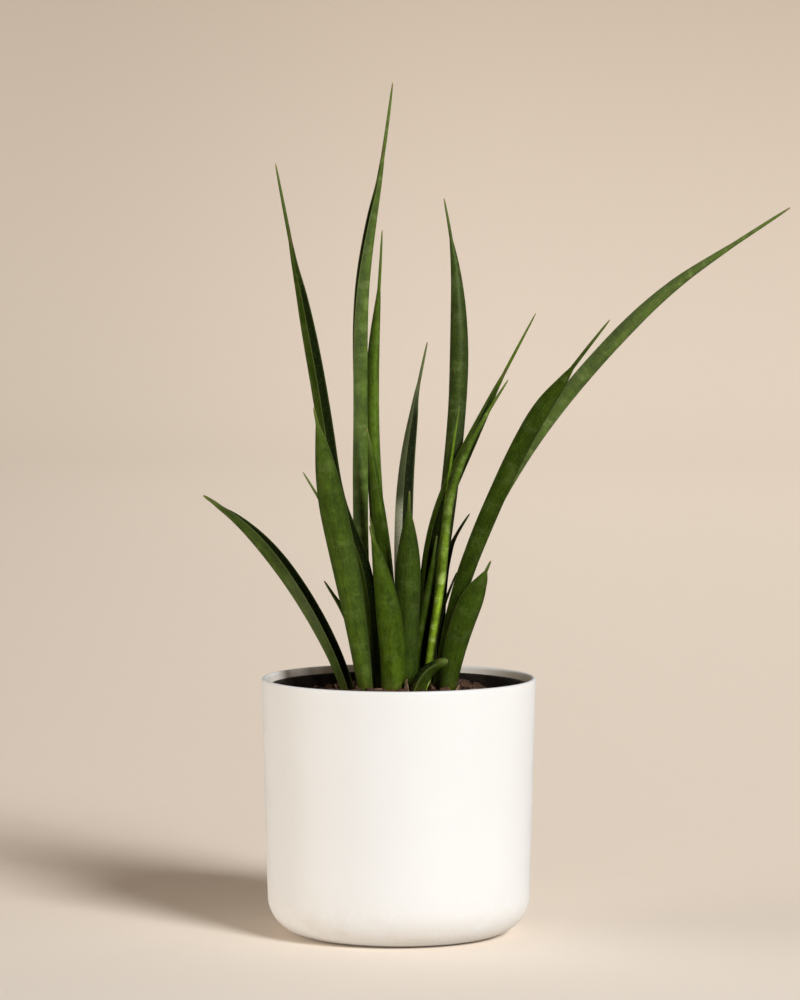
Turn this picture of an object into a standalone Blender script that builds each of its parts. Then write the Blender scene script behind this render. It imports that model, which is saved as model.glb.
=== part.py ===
"""Cylindrical snake plant in its grower's pot, which stands inside a white cover pot.

The leaves are stiff channelled blades that end in a round awl. They stand in plain holes in a coarse bark
mix, on a buried rhizome. Sizes are in millimetres and become metres where a mesh is made. +Z is up, -Y is
the front, and the origin is the centre of the cover pot's underside.
"""

import math
from collections import namedtuple

import bmesh
import bpy
import numpy as np
from mathutils import Euler, Matrix, Vector, noise

MM = 0.001
CLEARANCE = 0.3
ROUND_STEPS = 40
SHARP_DEGREES = 40

# Cover pot: a straight white cachepot with a generous base fillet
COVER_RADIUS = 90.0
COVER_HEIGHT = 168.0
COVER_FOOT_RADIUS = 86.3
COVER_FILLET = 25.0
COVER_WALL = 3.3
COVER_FLOOR = 3.6

# Grower's pot: thin black plastic with a thick rim band and drain holes
NURSERY_RIM_RADIUS = 84.9
NURSERY_RIM_BAND = 7.0
NURSERY_TOP_RADIUS = 81.6
NURSERY_BASE_RADIUS = 60.0
NURSERY_TOP = 163.5
NURSERY_WALL = 1.2
NURSERY_CORNER = 4.0
NURSERY_EDGE = 1.0
DRAIN_HOLES = 6
DRAIN_RADIUS = 4.5
DRAIN_CIRCLE = 40.0

# Bark mix: low at the wall, heaped between the leaves and at the right
SOIL_EDGE = 147.0
SOIL_CROWN = 12.5
SOIL_FALL = 2.4
SOIL_HEAP = 4.0
SOIL_HEAP_AT = (40.0, 30.0)
SOIL_HEAP_RADIUS = 20.0
SOIL_LUMP = 1.1
SOIL_LUMP_SPAN = 9.0
SOIL_RINGS = 6
CHIP_COUNT = 60
CHIP_SPREAD = 68.0
CHIP_SIZE = (3.5, 6.5)
CHIP_BREADTH = (0.5, 0.8)
CHIP_THICKNESS = (0.3, 0.5)
CHIP_WEAR = (0.75, 1.1)
CHIP_TILT = 0.6
CHIP_LIFT = 0.5
CHIP_SEED = 11
GOLDEN_DEGREES = 137.5

# Rhizome: a crown under each shoot, joined by runners
RHIZOME_TOP = 133.2
CROWNS = {"left": (-21.0, -4.0), "rear": (-12.0, 19.0), "front": (1.0, -12.0), "centre": (14.0, 14.0),
          "right": (27.0, -2.0)}
CROWN_RADII = (12.0, 12.0, 7.0)
CROWN_SIDES = 8
CROWN_BANDS = 5
RUNNERS = (("left", "front"), ("rear", "centre"), ("front", "right"), ("centre", "right"), ("rear", "left"))
RUNNER_RADIUS = 4.5
RUNNER_SAG = 2.5
RUNNER_SIDES = 6
RHIZOME_CLEARANCE = 0.4

# Leaf section: a channel that closes into a round awl near the tip
LEAF_SIDES = 10
LEAF_RINGS = 12
RING_CROWDING = 1.12
AWL_RADIUS = 1.1
AWL_SHARE = 0.45
AWL_POINT = 0.4
CHANNEL_FLOOR = 0.12
CHANNEL_CURVE = 1.6
CHANNEL_END = 0.12
CHANNEL_END_BEFORE = 0.10
HOLE_TOP = 172.0
HOLE_DEPTH_SHARE = 0.02
HOLE_CLEARANCE = 0.36

# One row a leaf. path runs from the foot, just over the rhizome, to the tip. facing is the azimuth that the
# channel opens to, at the foot and at the tip, in degrees: 0 is right, 90 is back, -90 is front. width is
# half the widest breadth. foot, widest and shoulder are shares: the breadth left at the foot, where the leaf
# is widest, and where the awl starts. back is the depth of the rounded back and rise the height of the
# channel's edges, both as shares of the width.
Leaf = namedtuple("Leaf", "name path facing width foot widest shoulder back rise")
LEAVES = (
    Leaf("leaf_left_arching", ((-27, 1, 134), (-34, 1, 160), (-62, 10, 218), (-107, 31, 270),
                               (-130, 42, 285)),
         (-20, -20), 7.2, 0.62, 0.60, 0.96, 0.80, 0.55),
    Leaf("leaf_left_tall", ((-12, 4, 134), (-18, 9, 200), (-25, 14, 243), (-39, 22, 278), (-47, 28, 316),
                            (-58, 38, 382), (-72, 50, 454), (-82, 60, 505)),
         (-45, -45), 5.9, 0.80, 0.60, 0.86, 0.85, 0.60),
    Leaf("leaf_left_broad", ((-18, -13, 134), (-34, -20, 234), (-48, -30, 306), (-52, -34, 333),
                             (-55, -36, 347)),
         (80, 80), 9.2, 0.32, 0.65, 0.95, 0.50, 0.35),
    Leaf("leaf_left_spike", ((-20, -3, 134), (-26, -1, 212), (-37, 0, 255), (-63, 4, 303)),
         (60, 60), 2.6, 0.90, 0.30, 0.80, 0.80, 0.40),
    Leaf("leaf_left_sprout", ((-25, -8, 134), (-31, -6, 200), (-49, -4, 232)),
         (60, 60), 3.4, 0.80, 0.40, 0.90, 0.80, 0.40),
    Leaf("leaf_rear_tallest", ((-19, 18, 134), (-25, 28, 250), (-26, 31, 345), (-24, 33, 428), (-11, 36, 507),
                               (-4, 37, 558)),
         (150, 180), 6.2, 0.80, 0.58, 0.885, 0.85, 0.60),
    Leaf("leaf_rear_tall", ((-8, 23, 134), (-14, 32, 282), (-17, 36, 349), (-13, 41, 424), (-11, 43, 461)),
         (-140, -140), 4.9, 0.85, 0.64, 0.88, 0.85, 0.60),
    Leaf("leaf_rear_slim", ((1, 5, 134), (-7, 7, 224), (-15, 10, 297), (-21, 13, 331)),
         (100, 110), 5.2, 0.80, 0.50, 0.95, 0.75, 0.50),
    Leaf("leaf_front_stout", ((-3, -15, 134), (-5, -19, 194), (-15, -26, 254), (-19, -29, 270)),
         (90, 90), 8.3, 0.85, 0.45, 0.93, 0.50, 0.35),
    Leaf("leaf_front_inner", ((-5, -7, 134), (-9, -8, 220), (-19, -14, 275)),
         (90, 90), 3.4, 0.80, 0.40, 0.85, 0.70, 0.40),
    Leaf("leaf_front_sword", ((6, -3, 134), (5, -7, 190), (6, -13, 250), (7, -18, 292)),
         (85, 85), 8.3, 0.50, 0.62, 0.92, 0.50, 0.35),
    Leaf("leaf_front_curled", ((7, -22, 134), (11, -23, 160), (20, -26, 177), (32, -28, 182)),
         (170, 170), 6.4, 0.90, 0.40, 0.92, 0.95, 0.80),
    Leaf("leaf_centre_grey", ((4, 17, 134), (2, 23, 225), (5, 32, 309), (11, 38, 348), (19, 44, 387)),
         (-40, -40), 6.9, 0.65, 0.52, 0.89, 0.80, 0.60),
    Leaf("leaf_centre_tall", ((17, 23, 134), (24, 27, 217), (36, 36, 322), (39, 45, 401), (35, 53, 453),
                              (30, 56, 482)),
         (-80, -80), 6.3, 0.70, 0.68, 0.92, 0.60, 0.40),
    Leaf("leaf_centre_thread", ((18, 8, 134), (24, 9, 200), (30, 10, 275), (40, 13, 346)),
         (90, 90), 2.4, 0.90, 0.30, 0.65, 0.80, 0.40),
    Leaf("leaf_centre_small", ((11, 5, 134), (12, 5, 186), (20, 5, 229), (25, 5, 261)),
         (90, 90), 3.0, 0.60, 0.55, 0.90, 0.80, 0.40),
    Leaf("leaf_centre_banded", ((15, -4, 134), (21, -3, 182), (29, 0, 240), (34, 3, 284), (48, 7, 323),
                                (72, 14, 363)),
         (100, 100), 3.0, 0.90, 0.55, 0.90, 0.90, 0.50),
    Leaf("leaf_centre_channelled", ((15, 14, 134), (17, 17, 225), (25, 20, 271), (46, 29, 320), (67, 37, 361),
                                    (91, 45, 406)),
         (-50, -50), 5.6, 0.80, 0.50, 0.84, 0.80, 0.60),
    Leaf("leaf_centre_dark", ((25, 16, 134), (27, 17, 204), (37, 22, 258), (47, 27, 274)),
         (-45, -45), 3.6, 0.70, 0.55, 0.88, 0.80, 0.50),
    Leaf("leaf_centre_sprig", ((20, 3, 134), (25, 4, 199), (38, 3, 237)),
         (90, 90), 2.2, 0.90, 0.40, 0.85, 0.80, 0.40),
    Leaf("leaf_right_arching", ((29, 8, 134), (38, 4, 215), (83, -14, 316), (139, -34, 388), (176, -45, 424),
                                (220, -57, 456), (250, -65, 476)),
         (140, 125), 5.8, 0.80, 0.58, 0.90, 0.75, 0.55),
    Leaf("leaf_right_nested", ((24, -3, 134), (43, -11, 232), (64, -20, 286), (88, -30, 336),
                               (136, -45, 404)),
         (120, 120), 6.7, 0.66, 0.60, 0.86, 0.70, 0.45),
    Leaf("leaf_right_short", ((29, -14, 134), (38, -17, 188), (52, -22, 229), (60, -25, 247)),
         (115, 115), 8.6, 0.36, 0.70, 0.93, 0.55, 0.35),
)


def clear_scene():
    """Remove every object and mesh."""
    for item in list(bpy.data.objects):
        bpy.data.objects.remove(item, do_unlink=True)
    for mesh in list(bpy.data.meshes):
        bpy.data.meshes.remove(mesh)


def material(name, colour, roughness, metallic=0.0):
    """A Principled material of one colour."""
    made = bpy.data.materials.get(name) or bpy.data.materials.new(name)
    made.use_nodes = True
    shader = made.node_tree.nodes["Principled BSDF"]
    shader.inputs["Base Color"].default_value = (*colour, 1.0)
    shader.inputs["Roughness"].default_value = roughness
    shader.inputs["Metallic"].default_value = metallic
    return made


def object_from_bmesh(name, bm, finish):
    """Turn a bmesh in millimetres into an object in metres, with its faces pointing out."""
    bmesh.ops.recalc_face_normals(bm, faces=bm.faces)
    bmesh.ops.scale(bm, vec=(MM, MM, MM), verts=bm.verts)
    mesh = bpy.data.meshes.new(name)
    bm.to_mesh(mesh)
    bm.free()
    made = bpy.data.objects.new(name, mesh)
    bpy.context.collection.objects.link(made)
    if finish:
        mesh.materials.append(finish)
    mesh.shade_smooth()
    mesh.set_sharp_from_angle(angle=math.radians(SHARP_DEGREES))
    return made


def arc(centre_r, centre_z, radius, start, end, steps):
    """Points (r, z) on an arc, from start to end degrees, both included."""
    angles = np.radians(np.linspace(start, end, steps + 1))
    return [(centre_r + radius * math.cos(a), centre_z + radius * math.sin(a)) for a in angles]


def turned(name, profile, steps, finish):
    """Spin an (r, z) profile that starts and ends on the axis once round Z."""
    bm = bmesh.new()
    verts = [bm.verts.new((r, 0.0, z)) for r, z in profile]
    edges = [bm.edges.new(pair) for pair in zip(verts, verts[1:])]
    bmesh.ops.spin(bm, geom=verts + edges, axis=(0, 0, 1), cent=(0, 0, 0), angle=math.tau, steps=steps,
                   use_merge=True)
    bmesh.ops.remove_doubles(bm, verts=bm.verts, dist=0.001)
    return object_from_bmesh(name, bm, finish)


def boolean(target, operation, tool):
    """Apply one Boolean to target with the objects of a collection, then remove those objects."""
    modifier = target.modifiers.new(operation.lower(), "BOOLEAN")
    modifier.operation = operation
    modifier.solver = "EXACT"
    modifier.operand_type = "COLLECTION"
    modifier.collection = tool
    graph = bpy.context.evaluated_depsgraph_get()
    mesh = bpy.data.meshes.new_from_object(target.evaluated_get(graph))
    target.modifiers.clear()
    target.data = mesh
    for item in list(tool.objects):
        bpy.data.objects.remove(item, do_unlink=True)
    bpy.data.collections.remove(tool)


def keep_largest_piece(target):
    """Drop the loose scraps that a Boolean leaves, and keep the piece with the most faces."""
    bm = bmesh.new()
    bm.from_mesh(target.data)
    unseen = set(bm.verts)
    pieces = []
    while unseen:
        front = [unseen.pop()]
        piece = set(front)
        while front:
            for edge in front.pop().link_edges:
                for vert in edge.verts:
                    if vert in unseen:
                        unseen.discard(vert)
                        piece.add(vert)
                        front.append(vert)
        pieces.append(piece)
    main = max(pieces, key=len)
    bmesh.ops.delete(bm, geom=[v for v in bm.verts if v not in main], context="VERTS")
    bm.to_mesh(target.data)
    bm.free()


def gather(name, objects):
    """Move objects from the scene into a collection of their own."""
    group = bpy.data.collections.new(name)
    for item in objects:
        bpy.context.collection.objects.unlink(item)
        group.objects.link(item)
    return group


def cover_pot():
    """White cachepot: flat underside, base fillet, slightly flared wall and a rounded lip."""
    lip = COVER_WALL / 2
    foot = COVER_FOOT_RADIUS - COVER_FILLET
    inner_fillet = COVER_FILLET - COVER_WALL
    outside = [(0.0, 0.0)] + arc(foot, COVER_FILLET, COVER_FILLET, -90, 0, 7)
    rim = arc(COVER_RADIUS - lip, COVER_HEIGHT - lip, lip, 0, 180, 4)
    inside = arc(foot, COVER_FLOOR + inner_fillet, inner_fillet, 0, -90, 5) + [(0.0, COVER_FLOOR)]
    return turned("cover_pot", outside + rim + inside, ROUND_STEPS,
                  material("glazed_white", (0.85, 0.83, 0.80), 0.45))


def nursery_profile(inset):
    """Radius and height pairs of the grower's pot wall, moved in by inset, from base corner to top."""
    base = COVER_FLOOR + CLEARANCE
    corner = arc(NURSERY_BASE_RADIUS - NURSERY_CORNER, base + NURSERY_CORNER, NURSERY_CORNER - inset,
                 -90, 0, 3)
    return corner + [(NURSERY_TOP_RADIUS - inset, NURSERY_TOP)]


def nursery_pot():
    """Black grower's pot: tapered wall, thick rim band and a ring of drain holes."""
    base = COVER_FLOOR + CLEARANCE
    outside = nursery_profile(0.0)[:-1]
    inside = nursery_profile(NURSERY_WALL)[:-1]
    band = NURSERY_TOP - NURSERY_RIM_BAND
    rim = [(NURSERY_TOP_RADIUS - NURSERY_WALL / 2, band), (NURSERY_RIM_RADIUS, band + NURSERY_EDGE),
           (NURSERY_RIM_RADIUS, NURSERY_TOP - NURSERY_EDGE), (NURSERY_RIM_RADIUS - NURSERY_EDGE, NURSERY_TOP),
           (NURSERY_TOP_RADIUS + NURSERY_EDGE / 2, NURSERY_TOP),
           (NURSERY_TOP_RADIUS - NURSERY_WALL, NURSERY_TOP - NURSERY_EDGE)]
    profile = [(0.0, base)] + outside + rim + inside[::-1] + [(0.0, base + NURSERY_WALL)]
    pot = turned("nursery_pot", profile, ROUND_STEPS, material("black_plastic", (0.012, 0.012, 0.013), 0.42))
    drills = []
    for i in range(DRAIN_HOLES):
        angle = math.tau * i / DRAIN_HOLES
        bm = bmesh.new()
        bmesh.ops.create_cone(bm, cap_ends=True, segments=10, radius1=DRAIN_RADIUS, radius2=DRAIN_RADIUS,
                              depth=6 * NURSERY_WALL)
        bmesh.ops.translate(bm, verts=bm.verts, vec=(DRAIN_CIRCLE * math.cos(angle),
                                                     DRAIN_CIRCLE * math.sin(angle), base + NURSERY_WALL / 2))
        drills.append(object_from_bmesh("drill", bm, None))
    boolean(pot, "DIFFERENCE", gather("drills", drills))
    return pot


def spline(points, t):
    """Natural cubic spline through points, at shares t of its chord length. Returns places and directions."""
    points = np.asarray(points, float)
    knots = np.concatenate([[0.0], np.cumsum(np.linalg.norm(np.diff(points, axis=0), axis=1))])
    knots /= knots[-1]
    h = np.diff(knots)
    n = len(points)
    system = np.eye(n)
    right = np.zeros((n, 3))
    for i in range(1, n - 1):
        system[i, i - 1:i + 2] = h[i - 1], 2 * (h[i - 1] + h[i]), h[i]
        right[i] = 6 * ((points[i + 1] - points[i]) / h[i] - (points[i] - points[i - 1]) / h[i - 1])
    bend = np.linalg.solve(system, right)
    t = np.asarray(t, float)
    k = np.clip(np.searchsorted(knots, t, side="right") - 1, 0, n - 2)
    a = (knots[k + 1] - t)[:, None]
    b = (t - knots[k])[:, None]
    w = h[k][:, None]
    low, high = points[k], points[k + 1]
    place = (bend[k] * a ** 3 + bend[k + 1] * b ** 3) / (6 * w)
    place += (low / w - bend[k] * w / 6) * a + (high / w - bend[k + 1] * w / 6) * b
    slope = (bend[k + 1] * b ** 2 - bend[k] * a ** 2) / (2 * w)
    slope += (high - low) / w - (bend[k + 1] - bend[k]) * w / 6
    return place, slope / np.linalg.norm(slope, axis=1)[:, None]


def ease(x):
    """Smooth step from 0 to 1."""
    x = np.clip(x, 0.0, 1.0)
    return x * x * (3 - 2 * x)


def fattened(x, y, grow):
    """Move the corners of closed outlines out along their mitres, so that each side lies grow out."""
    ahead_x = np.roll(x, -1, axis=1) - x
    ahead_y = np.roll(y, -1, axis=1) - y
    length = np.hypot(ahead_x, ahead_y)
    out_x, out_y = -ahead_y / length, ahead_x / length
    before_x, before_y = np.roll(out_x, 1, axis=1), np.roll(out_y, 1, axis=1)
    reach = grow / (1 + out_x * before_x + out_y * before_y)
    return x + reach * (out_x + before_x), y + reach * (out_y + before_y)


def leaf_rings(leaf, t, grow=0.0):
    """Rings of a leaf at shares t of its length, as an array of ring, side and xyz, in millimetres.

    The breadth swells from the foot as a quarter sine to the widest point, falls as a square to the
    shoulder, and ends as a round awl. The section is an ellipse bent along its long axis: its back is round,
    and its two edges stand up on both sides of a shallow channel. Towards the awl it turns into a circle.
    grow makes it fatter. A share below 0 runs on in a straight line past the foot.
    """
    t = np.asarray(t, float)
    inside = np.clip(t, 0.0, 1.0)
    place, along = spline(leaf.path, inside)
    place += along * ((t - inside) * math.dist(leaf.path[0], leaf.path[-1]))[:, None]
    swell = leaf.foot + (1 - leaf.foot) * np.sin(math.pi / 2 * np.clip(inside / leaf.widest, 0, 1))
    fall = np.clip((inside - leaf.widest) / (leaf.shoulder - leaf.widest), 0, 1)
    awl_width = min(AWL_RADIUS, AWL_SHARE * leaf.width)
    blade = awl_width + (leaf.width * swell - awl_width) * (1 - fall ** 2)
    taper = np.clip((inside - leaf.shoulder) / (1 - leaf.shoulder), 0, 1)
    width = np.where(inside < leaf.shoulder, blade, awl_width * (1 - taper) ** AWL_POINT)
    roundness = ease((inside - leaf.shoulder + CHANNEL_END_BEFORE) / CHANNEL_END)
    back = width * (leaf.back + (1 - leaf.back) * roundness)
    front = width * (CHANNEL_FLOOR + (1 - CHANNEL_FLOOR) * roundness)
    rise = width * leaf.rise * (1 - roundness)
    azimuth = np.radians(leaf.facing[0] + (leaf.facing[1] - leaf.facing[0]) * inside)
    level = np.stack([np.cos(azimuth), np.sin(azimuth), np.zeros_like(azimuth)], axis=1)
    facing = level - along * np.sum(level * along, axis=1)[:, None]
    facing /= np.linalg.norm(facing, axis=1)[:, None]
    side = np.cross(along, facing)
    angle = np.arange(LEAF_SIDES) * math.tau / LEAF_SIDES
    across = width[:, None] * np.cos(angle)
    depth = np.where(np.sin(angle) > 0, back[:, None], front[:, None]) * np.sin(angle)
    lift = rise[:, None] * np.abs(np.cos(angle)) ** CHANNEL_CURVE - depth
    across, lift = fattened(across, lift, grow)
    return place[:, None] + across[..., None] * side[:, None] + lift[..., None] * facing[:, None]


def loft(name, rings, tip, finish):
    """Close a run of rings with a cap at each end, or with a point where tip is given."""
    bm = bmesh.new()
    loops = [[bm.verts.new(p) for p in ring] for ring in rings]
    sides = len(loops[0])
    for low, high in zip(loops, loops[1:]):
        for i in range(sides):
            bm.faces.new((low[i], low[(i + 1) % sides], high[(i + 1) % sides], high[i]))
    bm.faces.new(loops[0][::-1])
    if tip is None:
        bm.faces.new(loops[-1])
    else:
        point = bm.verts.new(tip)
        for i in range(sides):
            bm.faces.new((loops[-1][i], loops[-1][(i + 1) % sides], point))
    return object_from_bmesh(name, bm, finish)


def ring_shares():
    """Shares of a leaf's length for its rings, closer together towards the tip."""
    return 1 - (1 - np.arange(LEAF_RINGS) / LEAF_RINGS) ** RING_CROWDING


def leaf_object(leaf, finish):
    """One leaf as a closed blade."""
    return loft(leaf.name, leaf_rings(leaf, ring_shares()), leaf.path[-1], finish)


def leaf_hole(leaf):
    """Cutter for the hole that a leaf stands in: the leaf's own lower rings, a little fatter and longer."""
    shares = ring_shares()
    place, _ = spline(leaf.path, shares)
    above = int(np.argmax(place[:, 2] > HOLE_TOP)) or len(shares) - 1
    t = np.concatenate([[-HOLE_DEPTH_SHARE], shares[:above + 1]])
    return loft("hole", leaf_rings(leaf, t, grow=HOLE_CLEARANCE), None, None)


def crown(centre, grow):
    """A flattened ball under one shoot."""
    bm = bmesh.new()
    bmesh.ops.create_uvsphere(bm, u_segments=CROWN_SIDES, v_segments=CROWN_BANDS, radius=1.0)
    radii = [r + grow for r in CROWN_RADII]
    turn = Matrix.Rotation(math.atan2(centre[1], centre[0]), 4, "Z")
    place = Matrix.Translation((centre[0], centre[1], RHIZOME_TOP - CROWN_RADII[2]))
    bmesh.ops.transform(bm, matrix=place @ turn @ Matrix.Diagonal((*radii, 1.0)), verts=bm.verts)
    return object_from_bmesh("crown", bm, None)


def runner(start, end, grow):
    """A rod that joins two crowns, sagging a little in the middle."""
    depth = RHIZOME_TOP - CROWN_RADII[2] - 1.0
    ends = [Vector((*start, depth)), Vector((*end, depth))]
    middle = (ends[0] + ends[1]) / 2 - Vector((0, 0, RUNNER_SAG))
    place, along = spline([ends[0], middle, ends[1]], np.linspace(0, 1, 4))
    side = np.cross(along, (0, 0, 1))
    side /= np.linalg.norm(side, axis=1)[:, None]
    top = np.cross(side, along)
    angle = np.arange(RUNNER_SIDES) * math.tau / RUNNER_SIDES
    radius = RUNNER_RADIUS + grow
    rings = place[:, None] + radius * (np.cos(angle)[None, :, None] * side[:, None]
                                       + np.sin(angle)[None, :, None] * top[:, None])
    return loft("runner", rings, None, None)


def rhizome(name, grow, finish):
    """Crowns and runners joined into one body, which grow makes fatter."""
    pieces = [crown(place, grow) for place in CROWNS.values()]
    pieces += [runner(CROWNS[a], CROWNS[b], grow) for a, b in RUNNERS]
    body = pieces.pop(0)
    body.name = name
    boolean(body, "UNION", gather("rhizome_pieces", pieces))
    if finish:
        body.data.materials.append(finish)
    return body


def soil_height(x, y):
    """Height of the bark mix: a broad mound that falls to the wall, a heap at the right, and lumps."""
    limit = NURSERY_TOP_RADIUS
    mound = SOIL_CROWN * (1 - min(math.hypot(x, y) / limit, 1) ** SOIL_FALL)
    apart = math.hypot(x - SOIL_HEAP_AT[0], y - SOIL_HEAP_AT[1]) / SOIL_HEAP_RADIUS
    heap = SOIL_HEAP * math.exp(-apart * apart)
    lumps = SOIL_LUMP * noise.noise(Vector((x, y, 0.0)) / SOIL_LUMP_SPAN)
    return SOIL_EDGE + mound + heap + lumps


def soil_body(finish):
    """The bark mix as a plug that fills the grower's pot, with a lumpy top."""
    wall = nursery_profile(NURSERY_WALL + CLEARANCE)
    base_radius, base = wall[-2]
    slope = (wall[-1][0] - base_radius) / (wall[-1][1] - base)
    edge = base_radius + slope * (SOIL_EDGE - base) - CLEARANCE
    profile = wall[:-1] + [(r, None) for r in np.linspace(edge, 0, SOIL_RINGS + 1)[:-1]]
    bm = bmesh.new()
    rings = []
    for r, z in profile:
        ring = []
        for i in range(ROUND_STEPS):
            x, y = r * math.cos(math.tau * i / ROUND_STEPS), r * math.sin(math.tau * i / ROUND_STEPS)
            height = z if z is not None else SOIL_EDGE if r == edge else soil_height(x, y)
            ring.append(bm.verts.new((x, y, height)))
        rings.append(ring)
    top = bm.verts.new((0, 0, soil_height(0, 0)))
    for i in range(ROUND_STEPS):
        j = (i + 1) % ROUND_STEPS
        for low, high in zip(rings, rings[1:]):
            bm.faces.new((low[i], low[j], high[j], high[i]))
        bm.faces.new((rings[-1][i], rings[-1][j], top))
    bm.faces.new(rings[0][::-1])
    return object_from_bmesh("soil", bm, finish)


def chips():
    """Bark chips half sunk in the mix, on a sunflower spiral: blocks with worn corners, turned at random."""
    rng = np.random.default_rng(CHIP_SEED)
    made = []
    for i in range(CHIP_COUNT):
        r = CHIP_SPREAD * math.sqrt((i + 0.5) / CHIP_COUNT)
        x, y = r * math.cos(i * math.radians(GOLDEN_DEGREES)), r * math.sin(i * math.radians(GOLDEN_DEGREES))
        bm = bmesh.new()
        bmesh.ops.create_cube(bm, size=2.0)
        for vert in bm.verts:
            vert.co *= rng.uniform(*CHIP_WEAR)
        length = rng.uniform(*CHIP_SIZE)
        breadth = length * rng.uniform(*CHIP_BREADTH)
        shape = Matrix.Diagonal((length, breadth, length * rng.uniform(*CHIP_THICKNESS), 1))
        tilt = rng.uniform(-CHIP_TILT, CHIP_TILT, 2)
        turn = Euler((*tilt, rng.uniform(0, math.tau))).to_matrix().to_4x4()
        place = Matrix.Translation((x, y, soil_height(x, y) + CHIP_LIFT))
        bmesh.ops.transform(bm, matrix=place @ turn @ shape, verts=bm.verts)
        made.append(object_from_bmesh("chip", bm, None))
    return made


def build():
    """Make every piece."""
    clear_scene()
    green = material("leaf_green", (0.035, 0.075, 0.012), 0.42)
    bark = material("bark_mix", (0.085, 0.040, 0.026), 0.90)
    root = material("rhizome_skin", (0.42, 0.22, 0.08), 0.60)
    cover_pot()
    nursery_pot()
    soil = soil_body(bark)
    boolean(soil, "UNION", gather("chips", chips()))
    holes = [leaf_hole(leaf) for leaf in LEAVES]
    holes.append(rhizome("rhizome_hole", RHIZOME_CLEARANCE, None))
    boolean(soil, "DIFFERENCE", gather("holes", holes))
    keep_largest_piece(soil)
    rhizome("rhizome", 0.0, root)
    for leaf in LEAVES:
        leaf_object(leaf, green)


build()
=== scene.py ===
# %% [markdown]
# # A cylindrical snake plant in a white cover pot
#
# The solid model of this plant is exact but plain: its leaves have few sides and one flat colour. This
# lesson puts a finer surface over each solid and gives each one the finish of the real thing. Every piece
# starts from the sizes of the solid that it stands for.

import math
from collections import namedtuple

import bpy
import numpy as np
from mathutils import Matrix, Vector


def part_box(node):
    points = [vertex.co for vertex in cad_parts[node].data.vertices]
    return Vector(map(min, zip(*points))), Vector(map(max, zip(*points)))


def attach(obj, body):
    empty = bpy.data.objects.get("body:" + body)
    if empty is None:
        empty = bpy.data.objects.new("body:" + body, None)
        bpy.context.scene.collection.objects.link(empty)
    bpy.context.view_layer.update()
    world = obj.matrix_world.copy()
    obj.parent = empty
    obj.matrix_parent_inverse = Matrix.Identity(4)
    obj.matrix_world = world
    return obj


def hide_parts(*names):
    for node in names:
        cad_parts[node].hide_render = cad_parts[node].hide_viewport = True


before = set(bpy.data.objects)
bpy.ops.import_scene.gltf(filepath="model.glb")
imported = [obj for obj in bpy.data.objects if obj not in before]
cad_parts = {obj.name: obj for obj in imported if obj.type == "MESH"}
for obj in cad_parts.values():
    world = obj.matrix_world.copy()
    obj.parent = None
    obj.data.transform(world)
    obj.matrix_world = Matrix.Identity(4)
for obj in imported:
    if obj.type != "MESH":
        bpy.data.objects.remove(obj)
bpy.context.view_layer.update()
MM = 0.001


def add_object(name, data):
    """A new object in the scene."""
    made = bpy.data.objects.new(name, data)
    bpy.context.scene.collection.objects.link(made)
    return made


# %% [markdown]
# ## The camera
#
# The rim of the pot looks like a flat ellipse, so the camera looks down only a little. The rear leaves are
# hardly smaller than the front ones, so it stands about three metres away behind a long lens. Its focal
# length is counted in pixels of a picture 1000 pixels tall.

# %% The camera
PICTURE_HEIGHT = 1000
FOCAL_PIXELS = 4591
SENSOR = 36.0
CAMERA_PLACE = (0.0008, -3.0, 0.4818)
CAMERA_PITCH = math.radians(3.76)

camera_data = bpy.data.cameras.new("photo_camera")
camera_data.sensor_width = SENSOR
camera_data.lens = FOCAL_PIXELS / PICTURE_HEIGHT * SENSOR
camera = add_object("photo_camera", camera_data)
camera.location = CAMERA_PLACE
camera.rotation_euler = (math.pi / 2 - CAMERA_PITCH, 0, 0)
bpy.context.scene.camera = camera
print("lens, mm:", round(camera_data.lens, 1))

# %% [markdown]
# ## Surfaces from grids
#
# Every new piece is a grid of points: rows run along it, and columns run round it. numpy works out all the
# points at once, and one function closes any such grid into a mesh. Where the volume that the faces enclose
# comes out negative, they point inwards, and it turns them round.

# %% Grids to meshes
def together(*parts):
    """Numbers side by side, such as the coordinates of points, each spread to the others' shape."""
    return np.stack(np.broadcast_arrays(*parts), axis=-1)


def full_turn(count):
    """Angles in equal steps round a circle."""
    return np.arange(count) * math.tau / count


def grid_quads(rows, columns):
    """Corner numbers of the quads between neighbouring rows and columns. The columns close a circle."""
    i, j = np.meshgrid(np.arange(rows - 1), np.arange(columns), indexing="ij")
    k = (j + 1) % columns
    corners = (i * columns + j, i * columns + k, (i + 1) * columns + k, (i + 1) * columns + j)
    return together(*corners).reshape(-1, 4)


def fans(rows, columns):
    """Triangles that close a grid's two ends, each to one of the two points that follow the grid's own."""
    j = np.arange(columns)
    k = (j + 1) % columns
    last = (rows - 1) * columns
    return together(rows * columns, k, j), together(rows * columns + 1, last + j, last + k)


def enclosed(points, triangles):
    """Signed volume in a closed mesh: a sixth of the sum of a dot (b cross c) over its triangles."""
    a, b, c = (points[triangles[:, n]] for n in range(3))
    return np.sum(a * np.cross(b, c)) / 6


def make_piece(name, points, quads, triangles, sharp=40.0):
    """A shaded mesh object from points in millimetres, with its faces turned outwards."""
    halves = np.concatenate([triangles, quads[:, [0, 1, 2]], quads[:, [0, 2, 3]]])
    if enclosed(points, halves) < 0:
        quads, triangles = quads[:, ::-1], triangles[:, ::-1]
    mesh = bpy.data.meshes.new(name)
    mesh.from_pydata((points * MM).tolist(), [], quads.tolist() + triangles.tolist())
    mesh.shade_smooth()
    mesh.set_sharp_from_angle(angle=math.radians(sharp))
    piece = add_object(name, mesh)
    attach(piece, "root")
    return piece


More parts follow.
